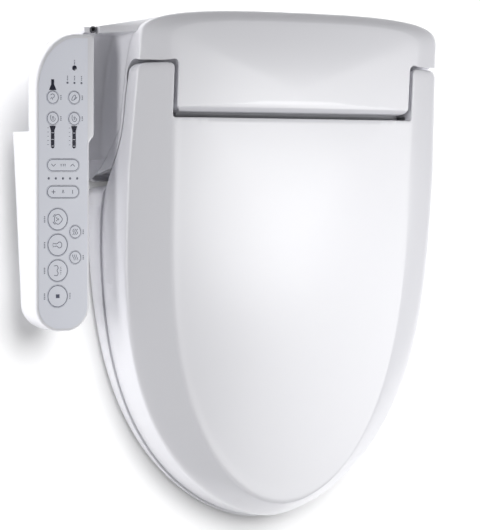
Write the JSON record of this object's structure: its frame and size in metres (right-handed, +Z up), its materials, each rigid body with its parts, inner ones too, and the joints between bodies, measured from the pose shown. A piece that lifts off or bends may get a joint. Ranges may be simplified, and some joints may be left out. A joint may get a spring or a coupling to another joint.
{
  "type": "electric bidet seat",
  "caption": "Electric bidet seat with a heated seat ring and cover lid hinged on a moulded housing, a side arm of push keys, sliding wash nozzles, a dryer and a quick-release plate.",
  "frame": {"origin": "middle of the two fixing slots, on the plane of the bowl's rim", "axes": "+Z up, +Y towards the wall behind the bowl, +X to the right as seen from the front"},
  "size_m": [0.4809, 0.5304, 0.1352],
  "materials": {
    "shell_white": "smooth glossy moulding",
    "housing_white": "smooth satin-gloss moulding",
    "label_grey": "satin film",
    "key_grey": "satin film",
    "lens_dark": "smoked window",
    "membrane_rubber": "silicone",
    "board_green": "circuit board",
    "inner_white": "plain moulding",
    "fan_black": "plain moulding",
    "flap_white": "smooth glossy moulding",
    "nozzle_white": "smooth glossy moulding",
    "metal": "bright metal",
    "dark_plastic": "plain moulding",
    "foot_rubber": "matt rubber",
    "soft_rubber": "matt rubber",
    "button_grey": "smooth moulding",
    "heater_foil": "film heater"
  },
  "bodies": {
    "housing": {"base_case": "shell_white", "top_cover": "housing_white", "arm_case": "shell_white", "arm_bezel": "shell_white", "panel_label": "label_grey", "status_lenses": "lens_dark", "level_windows": "lens_dark", "key_membrane": "membrane_rubber", "control_board": "board_green", "main_board": "board_green", "power_supply": "inner_white", "heater_tank": "inner_white", "inlet_valve": "inner_white", "water_pump": "inner_white", "water_inlet": "metal", "cord_gland": "dark_plastic", "blower_case": "inner_white", "dryer_duct": "inner_white", "nozzle_guide": "inner_white", "hinge_pins": "metal", "hinge_dampers": "dark_plastic", "base_feet": "foot_rubber", "case_screws": "metal"},
    "seat": {"seat_top": "shell_white", "seat_bottom": "shell_white", "seat_arms": "inner_white", "seat_heater": "heater_foil", "seat_bumpers": "soft_rubber"},
    "lid": {"lid_shell": "shell_white", "lid_bushes": "inner_white", "lid_bumpers": "soft_rubber"},
    "key_stop": {"key_stop": "key_grey"},
    "key_rear": {"key_rear": "key_grey"},
    "key_front": {"key_front": "key_grey"},
    "key_dry": {"key_dry": "key_grey"},
    "key_a": {"key_a": "key_grey"},
    "key_b": {"key_b": "key_grey"},
    "key_c": {"key_c": "key_grey"},
    "key_d": {"key_d": "key_grey"},
    "key_e": {"key_e": "key_grey"},
    "key_f": {"key_f": "key_grey"},
    "rocker_upper": {"rocker_upper": "key_grey"},
    "rocker_lower": {"rocker_lower": "key_grey"},
    "blower_fan": {"blower_fan": "fan_black"},
    "dryer_flap": {"dryer_flap": "flap_white"},
    "wash_nozzle": {"wash_nozzle": "nozzle_white"},
    "bidet_nozzle": {"bidet_nozzle": "nozzle_white"},
    "release_button": {"release_button": "button_grey"},
    "mounting_plate": {"mounting_plate": "inner_white"}
  },
  "joints": [
    {"name": "seat_hinge", "type": "hinge", "parent": "housing", "child": "seat", "pos_m": [0, -0.006, 0.111], "axis": [-1, 0, 0], "range_deg": [0, 95]},
    {"name": "lid_hinge", "type": "hinge", "parent": "seat", "child": "lid", "pos_m": [0, -0.006, 0.111], "axis": [1, 0, 0], "range_deg": [-100, 0]},
    {"name": "key_stop_press", "type": "slide", "parent": "housing", "child": "key_stop", "axis": [0, 0.0753, -0.9972], "range_m": [0, 0.0008], "stiffness_N_per_m": 400, "springref_m": -0.0003},
    {"name": "key_rear_press", "type": "slide", "parent": "housing", "child": "key_rear", "axis": [0, 0.0753, -0.9972], "range_m": [0, 0.0008], "stiffness_N_per_m": 400, "springref_m": -0.0003},
    {"name": "key_front_press", "type": "slide", "parent": "housing", "child": "key_front", "axis": [0, 0.0753, -0.9972], "range_m": [0, 0.0008], "stiffness_N_per_m": 400, "springref_m": -0.0003},
    {"name": "key_dry_press", "type": "slide", "parent": "housing", "child": "key_dry", "axis": [0, 0.0753, -0.9972], "range_m": [0, 0.0008], "stiffness_N_per_m": 400, "springref_m": -0.0003},
    {"name": "key_a_press", "type": "slide", "parent": "housing", "child": "key_a", "axis": [0, 0.0753, -0.9972], "range_m": [0, 0.0008], "stiffness_N_per_m": 400, "springref_m": -0.0003},
    {"name": "key_b_press", "type": "slide", "parent": "housing", "child": "key_b", "axis": [0, 0.0753, -0.9972], "range_m": [0, 0.0008], "stiffness_N_per_m": 400, "springref_m": -0.0003},
    {"name": "key_c_press", "type": "slide", "parent": "housing", "child": "key_c", "axis": [0, 0.0753, -0.9972], "range_m": [0, 0.0008], "stiffness_N_per_m": 400, "springref_m": -0.0003},
    {"name": "key_d_press", "type": "slide", "parent": "housing", "child": "key_d", "axis": [0, 0.0753, -0.9972], "range_m": [0, 0.0008], "stiffness_N_per_m": 400, "springref_m": -0.0003},
    {"name": "key_e_press", "type": "slide", "parent": "housing", "child": "key_e", "axis": [0, 0.0753, -0.9972], "range_m": [0, 0.0008], "stiffness_N_per_m": 400, "springref_m": -0.0003},
    {"name": "key_f_press", "type": "slide", "parent": "housing", "child": "key_f", "axis": [0, 0.0753, -0.9972], "range_m": [0, 0.0008], "stiffness_N_per_m": 400, "springref_m": -0.0003},
    {"name": "rocker_upper_rock", "type": "hinge", "parent": "housing", "child": "rocker_upper", "pos_m": [-0.2545, -0.09434, 0.08382], "axis": [0, 0.9972, 0.0753], "range_deg": [-2.2, 2.2], "stiffness_Nm_per_rad": 0.05},
    {"name": "rocker_lower_rock", "type": "hinge", "parent": "housing", "child": "rocker_lower", "pos_m": [-0.2545, -0.12097, 0.08181], "axis": [0, 0.9972, 0.0753], "range_deg": [-2.2, 2.2], "stiffness_Nm_per_rad": 0.05},
    {"name": "fan_spin", "type": "hinge", "parent": "housing", "child": "blower_fan", "pos_m": [0.096, -0.026, 0.0174], "axis": [0, 0, 1], "continuous": true},
    {"name": "dryer_flap_hinge", "type": "hinge", "parent": "housing", "child": "dryer_flap", "pos_m": [0.058, -0.0985, 0.0243], "axis": [-1, 0, 0], "range_deg": [0, 55]},
    {"name": "wash_nozzle_slide", "type": "slide", "parent": "housing", "child": "wash_nozzle", "axis": [0, -0.9397, -0.342], "range_m": [0, 0.09]},
    {"name": "bidet_nozzle_slide", "type": "slide", "parent": "housing", "child": "bidet_nozzle", "axis": [0, -0.9397, -0.342], "range_m": [0, 0.09]},
    {"name": "release_button_press", "type": "slide", "parent": "housing", "child": "release_button", "axis": [-1, 0, 0], "range_m": [0, 0.002], "stiffness_N_per_m": 800, "springref_m": -0.0005},
    {"name": "plate_slide", "type": "slide", "parent": "housing", "child": "mounting_plate", "axis": [0, 1, 0], "range_m": [0, 0.1]}
  ]
}
